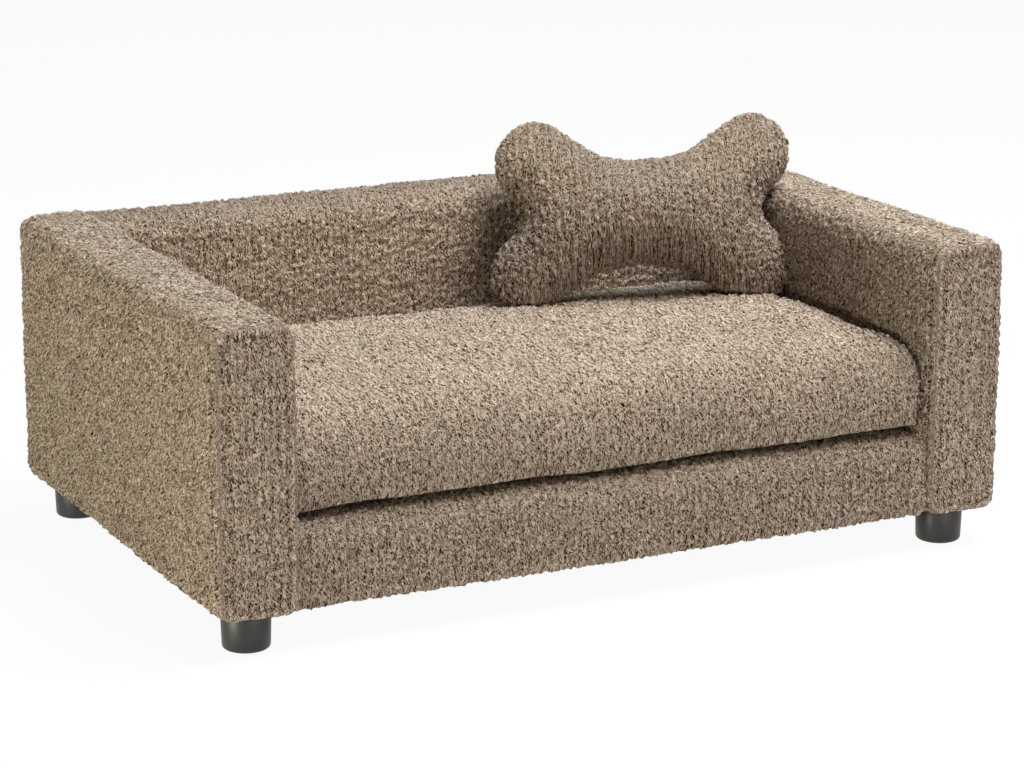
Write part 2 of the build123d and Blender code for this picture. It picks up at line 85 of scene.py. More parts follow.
PILE = 3.0 * MM
PILE_BUMP = 3.4 * MM
FINE_VOXEL = 2.0 * MM
SEAM_STEP = 2 * MM
SEAM_REACH = 20 * MM
SECTION_STEP = 2.5 * MM
END_ARC_STEPS = 4
SMOOTHING = 0.5
FAR_AWAY = 1.0

# Padding under the cloth
UNEVEN_WAVES = 10
SWELL_FRAMES = 20
CORE_DEPTH = 4 * MM

# How much a normal points one way before the face counts as facing that way
FACING = 0.7

# Share of the pile's relief that is left where the cloth lies against another piece
PRESSED_ARM = 0.35
PRESSED_BACK = 0.3
PRESSED_SEAT = 0.25


# Nodes, for shader trees and geometry trees alike


def node(tree, kind, values=(), **settings):
    """A new node with its settings, and numbers or links put into its inputs."""
    made = tree.nodes.new(kind)
    for name, value in settings.items():
        setattr(made, name, value)
    for key, value in dict(values).items():
        if isinstance(value, bpy.types.NodeSocket):
            tree.links.new(value, made.inputs[key])
        else:
            made.inputs[key].default_value = value
    return made


def math_node(tree, operation, first, second=0.0, clamp=False):
    values = {0: first, 1: second}
    return node(tree, "ShaderNodeMath", values, operation=operation, use_clamp=clamp).outputs[0]


def weighted_sum(tree, terms):
    """The sum of (socket, weight) terms, added in their order."""
    total = None
    for socket, weight in terms:
        term = math_node(tree, "MULTIPLY", socket, weight)
        total = term if total is None else math_node(tree, "ADD", total, term)
    return total


def vector_node(tree, operation, first, second=(0, 0, 0)):
    return node(tree, "ShaderNodeVectorMath", {0: first, 1: second}, operation=operation).outputs[0]


def scaled(tree, vector, factor):
    made = node(tree, "ShaderNodeVectorMath", {0: vector}, operation="SCALE")
    made.inputs["Scale"].default_value = factor
    return made.outputs[0]


def noise_node(tree, vector, scale, detail=2.0, roughness=0.5):
    values = {"Vector": vector, "Scale": scale, "Detail": detail, "Roughness": roughness}
    return node(tree, "ShaderNodeTexNoise", values)


def cells(tree, vector, scale, randomness=1.0, feature="F1"):
    values = {"Vector": vector, "Scale": scale, "Randomness": randomness}
    return node(tree, "ShaderNodeTexVoronoi", values, feature=feature)


def map_range(tree, value, low, high, to_low=0.0, to_high=1.0, smooth=True):
    kind = "SMOOTHSTEP" if smooth else "LINEAR"
    values = {0: value, 1: low, 2: high, 3: to_low, 4: to_high}
    return node(tree, "ShaderNodeMapRange", values, interpolation_type=kind).outputs[0]


def boucle_relief(tree, cloth, rib):
    """The pile's pattern from a place on the cloth and the distance across its ribs, in millimetres.

    Gives the height of the small curls and of the lumps, from 0 to 1, the ribs, about from -1 to 1,
    a tone for each curl and the distances across and along the ribs.
    """
    drift = noise_node(tree, cloth, 1 / DRIFT_SIZE, 2.0)
    shift = scaled(tree, vector_node(tree, "SUBTRACT", drift.outputs[1], (0.5, 0.5, 0.5)), 2 * DRIFT)
    moved = vector_node(tree, "ADD", cloth, shift)
    place = vector_node(tree, "MULTIPLY", moved, (1 / CURL_ACROSS, 1 / CURL_ACROSS, 1 / CURL_ALONG))
    curl = cells(tree, place, 1.0, 1.0)
    curl_height = map_range(tree, curl.outputs["Distance"], 0.05, 0.95, 1.0, 0.0)
    lump_place = vector_node(tree, "MULTIPLY", moved, (1 / LUMP_ACROSS, 1 / LUMP_ACROSS, 1 / LUMP_ALONG))
    lump = cells(tree, lump_place, 1.0, 1.0)
    lump_height = map_range(tree, lump.outputs["Distance"], 0.1, 0.8, 1.0, 0.0)
    wander = math_node(tree, "MULTIPLY", math_node(tree, "SUBTRACT", drift.outputs[0], 0.5), 2 * DRIFT)
    across = math_node(tree, "ADD", rib, wander)
    waves = math_node(tree, "COSINE", math_node(tree, "MULTIPLY", across, 2 * math.pi / RIB_PITCH))
    along = vector_node(tree, "DOT_PRODUCT", cloth, (1, 1, 1)).node.outputs["Value"]
    run = node(tree, "ShaderNodeCombineXYZ", {
        0: math_node(tree, "MULTIPLY", across, 1 / STREAK_ACROSS),
        1: math_node(tree, "MULTIPLY", along, 1 / STREAK_ALONG),
    })
    streak = noise_node(tree, run.outputs[0], 1.0, 2.0).outputs[0]
    off_streak = math_node(tree, "SUBTRACT", streak, 0.5)
    ribs = weighted_sum(tree, [(waves, RIB_WAVE), (off_streak, RIB_STREAK)])
    tone = node(tree, "ShaderNodeSeparateXYZ", {0: curl.outputs["Color"]}).outputs[0]
    return curl_height, lump_height, ribs, tone, across, along


def pile_modifier():
    """A geometry tree that raises the lumps and ribs of the pile on a fabric mesh."""
    tree = bpy.data.node_groups.new("pile", "GeometryNodeTree")
    tree.interface.new_socket("Geometry", in_out="INPUT", socket_type="NodeSocketGeometry")
    tree.interface.new_socket("Geometry", in_out="OUTPUT", socket_type="NodeSocketGeometry")
    given = tree.nodes.new("NodeGroupInput")
    out = tree.nodes.new("NodeGroupOutput")
    cloth = node(tree, "GeometryNodeInputNamedAttribute", {"Name": "cloth"}, data_type="FLOAT_VECTOR")
    rib = node(tree, "GeometryNodeInputNamedAttribute", {"Name": "rib"}, data_type="FLOAT")
    amount = node(tree, "GeometryNodeInputNamedAttribute", {"Name": "amount"}, data_type="FLOAT")
    curl, lump, ribs = boucle_relief(tree, cloth.outputs["Attribute"], rib.outputs["Attribute"])[:3]
    off_lump = math_node(tree, "SUBTRACT", lump, RELIEF_LUMP_MIDDLE)
    raised = weighted_sum(tree, [(off_lump, 1.0), (ribs, RELIEF_RIB), (curl, RELIEF_CURL)])
    full_height = math_node(tree, "MULTIPLY", raised, PILE)
    height = math_node(tree, "MULTIPLY", full_height, amount.outputs["Attribute"])
    normal = node(tree, "GeometryNodeInputNormal").outputs[0]
    offset = node(tree, "ShaderNodeVectorMath", {0: normal, "Scale": height}, operation="SCALE").outputs[0]
    moved = node(tree, "GeometryNodeSetPosition", {"Geometry": given.outputs[0], "Offset": offset})
    tree.links.new(moved.outputs[0], out.inputs[0])
    return tree


# Meshes


def settle(obj):
    """Applies every modifier of an object."""
    graph = bpy.context.evaluated_depsgraph_get()
    final = obj.evaluated_get(graph)
    mesh = bpy.data.meshes.new_from_object(final, preserve_all_data_layers=True, depsgraph=graph)
    obj.modifiers.clear()
    old = obj.data
    obj.data = mesh
    bpy.data.meshes.remove(old)
    return obj


def add_object(name, mesh):
    obj = bpy.data.objects.new(name, mesh)
    bpy.context.scene.collection.objects.link(obj)
    return obj


def mesh_object(name, points, faces):
    mesh = bpy.data.meshes.new(name)
    mesh.from_pydata([tuple(p) for p in points], [], faces)
    mesh.validate()
    return add_object(name, mesh)


def coordinates(obj):
    co = np.empty(len(obj.data.vertices) * 3)
    obj.data.vertices.foreach_get("co", co)
    return co.reshape(-1, 3)


def set_coordinates(obj, co):
    obj.data.vertices.foreach_set("co", co.ravel())
    obj.data.update()


def normals(obj):
    no = np.empty(len(obj.data.vertices) * 3)
    obj.data.vertex_normals.foreach_get("vector", no)
    return no.reshape(-1, 3)


def remesh(obj, voxel):
    modifier = obj.modifiers.new("remesh", "REMESH")
    modifier.mode = "VOXEL"
    modifier.voxel_size = voxel
    modifier.adaptivity = 0
    return settle(obj)


def smooth(obj, times=3):
    modifier = obj.modifiers.new("smooth", "SMOOTH")
    modifier.factor = SMOOTHING
    modifier.iterations = times
    return settle(obj)


def outer_surface(node_name, name):
    """The outer surface of a hollow CAD node, as a new object."""
    bm = bmesh.new()
    bm.from_mesh(frame["nodes"][node_name].data)
    bmesh.ops.remove_doubles(bm, verts=bm.verts, dist=0.01 * MM)
    unseen = set(bm.verts)
    islands = []
    while unseen:
        start = unseen.pop()
        island, edge_of = [start], [start]
        while edge_of:
            vert = edge_of.pop()
            for edge in vert.link_edges:
                other = edge.other_vert(vert)
                if other in unseen:
                    unseen.remove(other)
                    island.append(other)
                    edge_of.append(other)
        islands.append(island)
    islands.sort(key=lambda island: max(v.co.x for v in island) - min(v.co.x for v in island))
    for island in islands[:-1]:
        bmesh.ops.delete(bm, geom=island, context="VERTS")
    mesh = bpy.data.meshes.new(name)
    bm.to_mesh(mesh)
    bm.free()
    return add_object(name, mesh)


def rounded_section(low, high, radii):
    """Points and outward directions round a rectangle with four corner radii.

    The radii go round from the low-low corner: (low, low), (high, low), (high, high), (low, high).
    """
    corners = [
        (low[0], low[1], 1, 1, 180),
        (high[0], low[1], -1, 1, 270),
        (high[0], high[1], -1, -1, 0),
        (low[0], high[1], 1, -1, 90),
    ]
    points, directions = [], []
    for (cx, cy, sx, sy, first), radius in zip(corners, radii):
        count = max(3, round(radius * math.pi / 2 / SECTION_STEP))
        for i in range(count + 1):
            a = math.radians(first + 90 * i / count)
            d = (math.cos(a), math.sin(a))
            points.append((cx + sx * radius + radius * d[0], cy + sy * radius + radius * d[1]))
            directions.append(d)
    return np.array(points), np.array(directions)


def bar(name, section, directions, start, end, radius, place):
    """A closed bar: the section runs from start to end, its two ends rounded by radius.

    place turns (section a, section b, along) into (x, y, z).
    """
    rings = []
    for i in range(END_ARC_STEPS + 1):
        a = math.pi / 2 * i / END_ARC_STEPS
        rings.append((start + radius * (1 - math.cos(a)), radius * (1 - math.sin(a))))
    rings += [(end - (along - start), draw) for along, draw in reversed(rings)]
    points = []
    for along, draw in rings:
        for (a, b), (da, db) in zip(section, directions):
            points.append(place(a - da * draw, b - db * draw, along))
    count = len(section)
    faces = []
    for ring in range(len(rings) - 1):
        for i in range(count):
            j = (i + 1) % count
            faces.append((ring * count + i, ring * count + j, (ring + 1) * count + j, (ring + 1) * count + i))
    faces.append(tuple(reversed(range(count))))
    faces.append(tuple(range((len(rings) - 1) * count, len(rings) * count)))
    obj = mesh_object(name, points, faces)
    bm = bmesh.new()
    bm.from_mesh(obj.data)
    bmesh.ops.recalc_face_normals(bm, faces=bm.faces)
    bm.to_mesh(obj.data)
    bm.free()
    return obj


def seam_distance(co, lines):
    """The distance from each point to the nearest seam line, for points within SEAM_REACH of one."""
    dense = []
    for line in lines:
        line = np.asarray(line)
        for first, second in zip(line[:-1], line[1:]):
            count = max(1, int(np.linalg.norm(second - first) / SEAM_STEP))
            for i in range(count):
                dense.append(first + (second - first) * i / count)
        dense.append(line[-1])
    tree = KDTree(len(dense))
    for i, point in enumerate(dense):
        tree.insert(point, i)
    tree.balance()
    dense = np.array(dense)
    near = np.full(len(co), FAR_AWAY)
    low, high = dense.min(0) - SEAM_REACH, dense.max(0) + SEAM_REACH
    for i in np.nonzero(((co > low) & (co < high)).all(1))[0]:
        near[i] = tree.find(co[i])[2]
    return near


def raise_seams(obj, lines, ridge, width, groove, groove_at):
    """Lifts a soft ridge along seam lines, with a groove on each side."""
    co, no = coordinates(obj), normals(obj)
    near = seam_distance(co, lines)
    lift = ridge * np.exp(-((near / width) ** 2)) - groove * np.exp(-(((near - groove_at) / width) ** 2))
    set_coordinates(obj, co + no * lift[:, None])
    return lift / ridge


def uneven(obj, size, amount, seed):
    """Moves the surface softly in and out, as padding does under cloth."""
    co, no = coordinates(obj), normals(obj)
    rng = np.random.default_rng(seed)
    height = np.zeros(len(co))
    for _ in range(UNEVEN_WAVES):
        direction = rng.normal(size=3)
        direction *= 2 * math.pi / (size * rng.uniform(0.6, 1.6)) / np.linalg.norm(direction)
        height += np.sin(co @ direction + rng.uniform(0, 2 * math.pi))
    set_coordinates(obj, co + no * (amount * height / math.sqrt(UNEVEN_WAVES / 2))[:, None])


def float_layer(mesh, name, values):
    layer = mesh.attributes.new(name, "FLOAT", "POINT")
    layer.data.foreach_set("value", np.broadcast_to(values, len(mesh.vertices)).astype(float))


def lay_cloth(obj, cloth, rib, amount, material, seam=0.0, painted_shading=1.0):
    """Stores how the fabric lies on a mesh, raises its pile and gives it its material.

    cloth is a place for each vertex and rib its distance across the ribs, both in metres. seam is
    1 on a seam's ridge and below 0 in the groove beside it. The last argument is painted shading: a
    factor on the colour, below 1 where the cloth is painted darker as if in shade, and above 1 where it is
    painted paler as if lit.
    """
    layer = obj.data.attributes.new("cloth", "FLOAT_VECTOR", "POINT")
    layer.data.foreach_set("vector", (cloth / MM).ravel())
    float_layer(obj.data, "rib", rib / MM)
    float_layer(obj.data, "amount", amount)
    float_layer(obj.data, "seam", seam)
    float_layer(obj.data, "painted_shading", painted_shading)
    modifier = obj.modifiers.new("pile", "NODES")
    modifier.node_group = pile_tree
    settle(obj)
    obj.data.shade_smooth()
    obj.data.materials.clear()
    obj.data.materials.append(material)
    return obj


def inflate(obj, voxel, pressure, cap):
    """Swells a closed mesh as padding does: a cloth shell with air pressure in it."""
    remesh(obj, voxel)
    start = coordinates(obj).copy()
    modifier = obj.modifiers.new("cloth", "CLOTH")
    settings = modifier.settings
    settings.quality = 6
    settings.mass = 0.3
    settings.tension_stiffness = 15
    settings.compression_stiffness = 15
    settings.shear_stiffness = 5
    settings.bending_stiffness = 0.5
    settings.use_pressure = True
    settings.uniform_pressure_force = pressure
    settings.effector_weights.gravity = 0
    modifier.collision_settings.use_collision = False
    modifier.collision_settings.use_self_collision = False
    modifier.point_cache.frame_start = 1
    modifier.point_cache.frame_end = SWELL_FRAMES
    for step in range(1, SWELL_FRAMES + 1):
        bpy.context.scene.frame_set(step)
    settle(obj)
    moved = coordinates(obj) - start
    length = np.maximum(np.linalg.norm(moved, axis=1), 1e-9)
    set_coordinates(obj, start + moved * np.minimum(1, cap / length)[:, None])
    bpy.context.scene.frame_set(1)
    return obj


def spread(co, low, high):
    """Scales points so that their box becomes the one from low to high."""
    low, high = np.array(low), np.array(high)
    share = (co - co.min(0)) / (co.max(0) - co.min(0))
    return low + share * (high - low)


def core(cover, name, voxel, body, slot_name, cad_node):
    """The padding in a cover: its shape, drawn in by the cloth's thickness and a little more."""
    inner = add_object(name, cover.data.copy())
    remesh(inner, voxel)
    set_coordinates(inner, coordinates(inner) - normals(inner) * CORE_DEPTH)
    smooth(inner)
    inner.data.shade_smooth()
    inner.data.materials.clear()
    inner.data.materials.append(slot_materials[slot_name])
    dress(inner, body, slot_name, cad_node)
    return inner


# Materials


def new_material(name):
    material = bpy.data.materials.new(name)
    material.use_nodes = True
    tree = material.node_tree
    return material, tree, tree.nodes["Principled BSDF"]


def ramp(tree, value, stops):
    made = node(tree, "ShaderNodeValToRGB", {0: value})
    elements = made.color_ramp.elements
    while len(elements) < len(stops):
        elements.new(0.5)
    for element, (place, color) in zip(elements, stops):
        element.position = place
        element.color = (*color, 1)
    return made.outputs[0]


def srgb(*levels):
    """The linear colour of an 8-bit sRGB one."""
    return tuple(((c / 255 + 0.055) / 1.055) ** 2.4 if c > 10 else c / 255 / 12.92 for c in levels)


def boucle(name):
    """Curled pile: pale loops round dark pits, partly painted light and shade, fine fibres and a soft bloom
    at the edges.
    """
    material, tree, shader = new_material(name)
    cloth = node(tree, "ShaderNodeAttribute", attribute_name="cloth").outputs["Vector"]
    rib = node(tree, "ShaderNodeAttribute", attribute_name="rib").outputs["Fac"]
    seam = node(tree, "ShaderNodeAttribute", attribute_name="seam").outputs["Fac"]
    curl, lump, ribs, tone, across, along = boucle_relief(tree, cloth, rib)
    turning = noise_node(tree, cloth, 1 / SWIRL_SIZE, 1.0).outputs[1]
    off_turning = vector_node(tree, "SUBTRACT", turning, (0.5, 0.5, 0.5))
    swirl = node(tree, "ShaderNodeSeparateXYZ", {0: scaled(tree, off_turning, 2 * SWIRL)})
    bent_across = math_node(tree, "ADD", across, swirl.outputs[0])
    bent_along = math_node(tree, "ADD", along, math_node(tree, "MULTIPLY", swirl.outputs[1], 2.0))
    place = node(tree, "ShaderNodeCombineXYZ", {
        0: math_node(tree, "MULTIPLY", bent_across, 1 / STRAND_ACROSS),
        1: math_node(tree, "MULTIPLY", bent_along, 1 / STRAND_ALONG),
        2: math_node(tree, "MULTIPLY", swirl.outputs[2], 1 / STRAND_ALONG),
    }).outputs[0]
    strands = noise_node(tree, place, 1.0, 2.0, 0.6).outputs[0]
    off_middle = math_node(tree, "ABSOLUTE", math_node(tree, "SUBTRACT", strands, 0.5))
    ridges = map_range(tree, off_middle, 0.0, STRAND_EDGE, 1.0, 0.0)
    fibres = noise_node(tree, place, FIBRE_FINENESS, 2.0, 0.6).outputs[0]
    height = weighted_sum(tree, [
        (curl, HEIGHT_CURL),
        (ridges, HEIGHT_STRAND),
        (lump, HEIGHT_LUMP),
        (ribs, HEIGHT_RIB),
        # In the colour this pales the seam ridge and darkens the groove beside it, which is painted light and
        # shade; in the bump it is relief.
        (seam, HEIGHT_SEAM),
        (math_node(tree, "SUBTRACT", fibres, 0.5), HEIGHT_FIBRE),
    ])
    # The ramp colours the pile by its height: low places dark brown, high curls and strands pale. This is
    # partly the yarn's tone and partly painted light and shade, with shade painted into the pits and light
    # onto the curl tops beyond what the relief casts.
    color = ramp(tree, height, [
        (0.1, srgb(54, 30, 12)),
        (0.28, srgb(121, 90, 62)),
        (0.44, srgb(208, 181, 154)),
        (0.7, srgb(238, 219, 199)),
    ])
    broad = noise_node(tree, cloth, 1 / TONE_SIZE, 2.0).outputs[0]
    shade = math_node(tree, "MULTIPLY_ADD", tone, 0.14)
    shade.node.inputs[2].default_value = 0.93
    shade = math_node(tree, "MULTIPLY", shade, map_range(tree, broad, 0.3, 0.7, 0.95, 1.05, False))
    # Painted shading: the colour is scaled by each piece's stored factor, darker where faces are meant to
    # look shaded and paler where they are meant to look lit.
    painted_shading = node(tree, "ShaderNodeAttribute", attribute_name="painted_shading").outputs["Fac"]
    shade = math_node(tree, "MULTIPLY", shade, painted_shading)
    varied = node(tree, "ShaderNodeVectorMath", {0: color, "Scale": shade}, operation="SCALE").outputs[0]
    tree.links.new(varied, shader.inputs["Base Color"])
    shader.inputs["Roughness"].default_value = 0.95
    shader.inputs["Sheen Weight"].default_value = 0.08
    shader.inputs["Sheen Roughness"].default_value = 0.5
    shader.inputs["Sheen Tint"].default_value = (0.9, 0.82, 0.72, 1)
    shader.inputs["Specular IOR Level"].default_value = 0.06
    bump = node(tree, "ShaderNodeBump", {"Height": height, "Strength": 1.0, "Distance": PILE_BUMP})
    tree.links.new(bump.outputs[0], shader.inputs["Normal"])
    return material


def plastic(name):
    """Black satin moulded plastic with a faint grain and scuffs."""
    material, tree, shader = new_material(name)
    place = node(tree, "ShaderNodeTexCoord").outputs["Object"]
    grain = noise_node(tree, place, 900.0, 3.0, 0.6).outputs[0]
    marks = noise_node(tree, place, 60.0, 4.0, 0.7).outputs[0]
    color = ramp(tree, marks, [(0.35, srgb(33, 30, 28)), (0.7, srgb(43, 39, 36))])
    tree.links.new(color, shader.inputs["Base Color"])
    rough = map_range(tree, marks, 0.3, 0.75, 0.34, 0.5, False)
    tree.links.new(rough, shader.inputs["Roughness"])
    bump = node(tree, "ShaderNodeBump", {"Height": grain, "Strength": 0.12, "Distance": 0.2 * MM})
    tree.links.new(bump.outputs[0], shader.inputs["Normal"])
    return material


def wood(name, pale, dark, stretch, ring_scale):
    """Planed timber: stretched grain lines and soft broad bands."""
    material, tree, shader = new_material(name)
    place = node(tree, "ShaderNodeTexCoord").outputs["Object"]
    squeezed = vector_node(tree, "MULTIPLY", place, stretch)
    bands = noise_node(tree, squeezed, ring_scale, 4.0, 0.6).outputs[0]
    fine = noise_node(tree, squeezed, ring_scale * 6, 2.0, 0.5).outputs[0]
    both = weighted_sum(tree, [(bands, 0.7), (fine, 0.3)])
    tree.links.new(ramp(tree, both, [(0.35, dark), (0.62, pale)]), shader.inputs["Base Color"])
    shader.inputs["Roughness"].default_value = 0.75
    bump = node(tree, "ShaderNodeBump", {"Height": fine, "Strength": 0.3, "Distance": 0.3 * MM})
    tree.links.new(bump.outputs[0], shader.inputs["Normal"])
    return material


def speckled(name, low, high, scale, roughness, relief):
    """A plain stuff with fine speckle, for foam, filling, fibreboard and non-woven cloth."""
    material, tree, shader = new_material(name)
    place = node(tree, "ShaderNodeTexCoord").outputs["Object"]
    fleck = noise_node(tree, place, scale, 4.0, 0.7).outputs[0]
    tree.links.new(ramp(tree, fleck, [(0.3, low), (0.7, high)]), shader.inputs["Base Color"])
    shader.inputs["Roughness"].default_value = roughness
    bump = node(tree, "ShaderNodeBump", {"Height": fleck, "Strength": 0.5, "Distance": relief})
    tree.links.new(bump.outputs[0], shader.inputs["Normal"])
    return material


def metal(name, color, roughness):
    """Plated metal with faint drawing lines."""
    material, tree, shader = new_material(name)
    place = node(tree, "ShaderNodeTexCoord").outputs["Object"]
    squeezed = vector_node(tree, "MULTIPLY", place, (1, 1, 0.2))
    streak = noise_node(tree, squeezed, 700.0, 3.0, 0.6).outputs[0]
    rough = map_range(tree, streak, 0.3, 0.7, roughness, roughness + 0.15, False)
    tree.links.new(rough, shader.inputs["Roughness"])
    tint = ramp(tree, streak, [(0.2, tuple(0.85 * c for c in color)), (0.8, color)])
    tree.links.new(tint, shader.inputs["Base Color"])
    shader.inputs["Metallic"].default_value = 1.0
    return material


pile_tree = pile_modifier()
fabric = boucle("boucle_taupe")
leg_plastic = plastic("leg_black_plastic")
pine_pale, pine_dark = srgb(214, 184, 140), srgb(186, 148, 102)
slot_materials = {
    "softwood": wood("pine", pine_pale, pine_dark, (1, 1, 0.12), 90.0),
    "plywood": wood("plywood", srgb(205, 176, 134), srgb(178, 144, 104), (0.15, 1, 1), 70.0),
    "fibreboard": speckled("fibreboard", srgb(138, 106, 74), srgb(168, 134, 98), 900.0, 0.85, 0.1 * MM),
    "foam": speckled("cut_foam", srgb(222, 208, 160), srgb(240, 230, 190), 1500.0, 0.95, 0.4 * MM),
    "filling": speckled("fibre_filling", srgb(225, 222, 215), srgb(245, 243, 238), 300.0, 0.95, 1.0 * MM),
    "dust_cloth": speckled("non_woven_black", srgb(20, 20, 21), srgb(36, 36, 38), 2500.0, 0.9, 0.1 * MM),
    "leg_plastic": leg_plastic,
    "zinc_steel": metal("zinc_plated_steel", srgb(205, 205, 200), 0.3),
    "zip_tape": speckled("zip_tape_twill", srgb(118, 102, 84), srgb(138, 121, 102), 1800.0, 0.9, 0.1 * MM),
    "zip_coil": speckled("zip_coil_plastic", srgb(112, 96, 79), srgb(124, 108, 90), 600.0, 0.45, 0.02 * MM),
    "zip_slider": metal("zip_slider_antique", srgb(150, 135, 115), 0.35),
}
for part in frame["record"]["subparts"]:
    if part["material_slot"] in slot_materials:
        cad = frame["nodes"][part["node"]]
        cad.data.materials.clear()
        cad.data.materials.append(slot_materials[part["material_slot"]])


def dress(obj, body, slot_name, *nodes):
    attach(obj, body)
    if nodes:
        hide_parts(*nodes)


# Arms

ARM_INNER_TOP_RADIUS = 20 * MM
ARM_OUTER_TOP_RADIUS = 13 * MM
ARM_BOTTOM_RADIUS = 14 * MM
ARM_END_RADIUS = 8 * MM
ARM_PROUD = 2 * MM
ARM_FACE_CROWN = 3.0 * MM
ARM_END_CROWN = 2.5 * MM
ARM_TOP_CROWN = 1.5 * MM
ARM_UNEVEN_SIZE = 90 * MM
ARM_UNEVEN = 0.4 * MM
ARM_INNER_SHADE = 0.2
ARM_FRONT_SHADE = 0.14
SEAM_INSET = 4 * MM
SEAM_TO_END = 1.0 * MM
SEAM_RIDGE = 2.4 * MM
SEAM_WIDTH = 2.8 * MM
SEAM_GROOVE = 1.2 * MM
SEAM_GROOVE_AT = 6.5 * MM
HEM_DROP = 2.5 * MM
PILE_SLANT = 0.45
ARM_COVERED_BEHIND = -235 * MM
CUSHION_EDGE_SEEN = 30 * MM
cushion_low, cushion_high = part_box("seat_cushion_cover")


def bulge(value, low, high):
    """1 midway between low and high, 0 at both and beyond."""
    share = np.clip((value - low) / (high - low), 0, 1)
    return 1 - (2 * share - 1) ** 4


def toward(no, axis, sign):
    """How much each normal points along an axis, from 0 to 1."""
    return np.clip(sign * no[:, axis], 0, 1)


def make_arm(side_name, side):
    low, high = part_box(f"{side_name}_arm_cover")
    low.y -= ARM_PROUD
    high.y += ARM_PROUD
    if side > 0:
        high.x += ARM_PROUD
    else:
        low.x -= ARM_PROUD
    tops = (ARM_OUTER_TOP_RADIUS, ARM_INNER_TOP_RADIUS)[::side]
    bottom = low.z - HEM_DROP
    section, directions = rounded_section(
        (low.x, bottom), (high.x, high.z), (ARM_BOTTOM_RADIUS, ARM_BOTTOM_RADIUS, *tops)
    )
    arm = bar(
        f"{side_name}_arm_upholstery", section, directions, low.y, high.y, ARM_END_RADIUS,
        lambda a, b, along: (a, along, b),
    )
    remesh(arm, FINE_VOXEL)
    co, no = coordinates(arm), normals(arm)
    x_bulge, y_bulge, z_bulge = (bulge(co[:, axis], low[axis], high[axis]) for axis in range(3))
    beside_cushion = (no[:, 0] * side < 0) & (co[:, 2] < cushion_high.z)
    crown = ARM_FACE_CROWN * np.abs(no[:, 0]) * y_bulge * z_bulge * np.where(beside_cushion, 0.0, 1.0)
    crown += ARM_END_CROWN * np.abs(no[:, 1]) * x_bulge * z_bulge
    crown += ARM_TOP_CROWN * toward(no, 2, 1) * x_bulge
    set_coordinates(arm, co + no * crown[:, None])
    uneven(arm, ARM_UNEVEN_SIZE, ARM_UNEVEN, 3 + side)
    lines = []
    for along in (low.y + SEAM_TO_END, high.y - SEAM_TO_END):
        ring = [(a, along, b) for a, b in section - SEAM_INSET * directions]
        lines.append(ring + ring[:1])
    seam = raise_seams(arm, lines, SEAM_RIDGE, SEAM_WIDTH, SEAM_GROOVE, SEAM_GROOVE_AT)
    co, no = coordinates(arm), normals(arm)
    rib = np.where(np.abs(no[:, 1]) > FACING, co[:, 0], co[:, 1] + PILE_SLANT * co[:, 0])
    behind_cushion = (co[:, 2] < cushion_high.z - CUSHION_EDGE_SEEN) & (co[:, 1] > ARM_COVERED_BEHIND)
    hidden = (no[:, 2] < -FACING) | ((no[:, 0] * side < -FACING) & behind_cushion)
    # Painted shade: the inner and front faces are painted darker, as if they got less light.
    painted_shading = 1 - ARM_INNER_SHADE * toward(no, 0, -side) - ARM_FRONT_SHADE * toward(no, 1, -1)
    amount = np.where(hidden, PRESSED_ARM, 1 - 0.5 * np.clip(seam, 0, 1))
    lay_cloth(arm, co, rib, amount, fabric, seam, painted_shading)
    dress(arm, "sofa", "boucle_fabric", f"{side_name}_arm_cover")
    return arm


make_arm("left", -1)
make_arm("right", 1)

# Back

BACK_FRONT_RADIUS = 22 * MM
BACK_REAR_RADIUS = 13 * MM
BACK_END_PRESS = 2 * MM
GROOVE_REACH = 20 * MM
GROOVE_FILL = 0.85
BACK_BOTTOM_RADIUS = 8 * MM
BACK_END_RADIUS = 4 * MM
BACK_CROWN = 2.0 * MM
BACK_SEEN_FROM = 200 * MM
BACK_UNEVEN_SIZE = 110 * MM
BACK_UNEVEN = 0.5 * MM
BACK_HIDDEN_BELOW = 170 * MM
BACK_TOP_SHADE = 0.25
BACK_FRONT_PAINTED_LIGHT = 0.17
BACK_CLOTH_SHIFT = 700 * MM
low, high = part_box("back_cover")
section, directions = rounded_section(
    (low.y, low.z - HEM_DROP), (high.y, high.z),
    (BACK_BOTTOM_RADIUS, BACK_BOTTOM_RADIUS, BACK_REAR_RADIUS, BACK_FRONT_RADIUS),
)
back = bar(
    "back_upholstery", section, directions, low.x - BACK_END_PRESS, high.x + BACK_END_PRESS,
    BACK_END_RADIUS, lambda a, b, along: (along, a, b),
)
remesh(back, FINE_VOXEL)
co, no = coordinates(back), normals(back)
x_bulge = bulge(co[:, 0], low.x, high.x)
crown = BACK_CROWN * toward(no, 1, 1) * x_bulge * bulge(co[:, 2], low.z, high.z)
crown += BACK_CROWN * toward(no, 1, -1) * x_bulge * bulge(co[:, 2], BACK_SEEN_FROM, high.z)
set_coordinates(back, co + no * crown[:, None])
uneven(back, BACK_UNEVEN_SIZE, BACK_UNEVEN, 11)
co, no = coordinates(back), normals(back)
against_arm = (np.abs(no[:, 0]) > FACING) & (co[:, 2] < high.z - CUSHION_EDGE_SEEN)
behind_cushion = (no[:, 1] < -FACING) & (co[:, 2] < BACK_HIDDEN_BELOW)
hidden = (no[:, 2] < -FACING) | against_arm | behind_cushion

